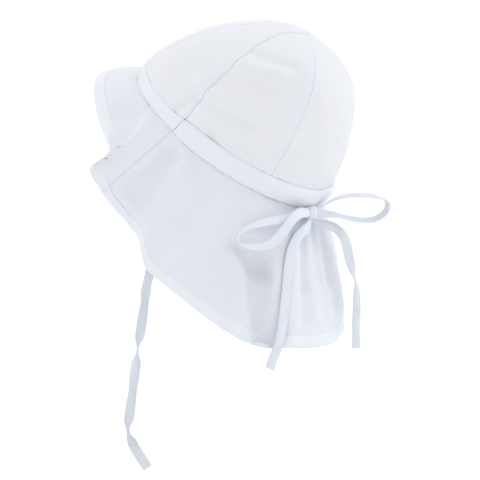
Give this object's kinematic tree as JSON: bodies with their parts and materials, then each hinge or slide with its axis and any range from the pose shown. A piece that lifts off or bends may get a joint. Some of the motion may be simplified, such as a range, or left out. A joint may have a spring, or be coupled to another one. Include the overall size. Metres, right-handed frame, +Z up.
{
  "type": "beach hat",
  "caption": "Small child's cloth beach hat with a panelled crown, short soft brim, long neck flap, a drawstring channel tied in a bow at the back, and a flat chin tie.",
  "frame": {"origin": "middle of the head opening, in the plane of the band's centre line: where the head holds the hat", "axes": "+Z up as worn; -X towards the front of the hat, with the band's plane tilted up in front; -Y the wearer's left side"},
  "size_m": [0.2284, 0.2064, 0.3441],
  "materials": {
    "crown_cloth": "matt fine woven cotton, off-white",
    "brim_cloth": "matt fine woven cotton, very pale blue",
    "tie_cloth": "matt flat woven tie, pale blue"
  },
  "bodies": {
    "root": {"crown_front": "crown_cloth", "crown_left_front": "crown_cloth", "crown_left_back": "crown_cloth", "crown_back": "crown_cloth", "crown_right_back": "crown_cloth", "crown_right_front": "crown_cloth", "front_band": "brim_cloth", "drawstring_channel": "brim_cloth", "brim": "brim_cloth", "neck_flap": "brim_cloth", "bow_knot": "tie_cloth", "bow_left_loop": "tie_cloth", "bow_right_loop": "tie_cloth", "bow_left_tail": "tie_cloth", "bow_right_tail": "tie_cloth", "chin_tie": "tie_cloth"}
  },
  "joints": []
}
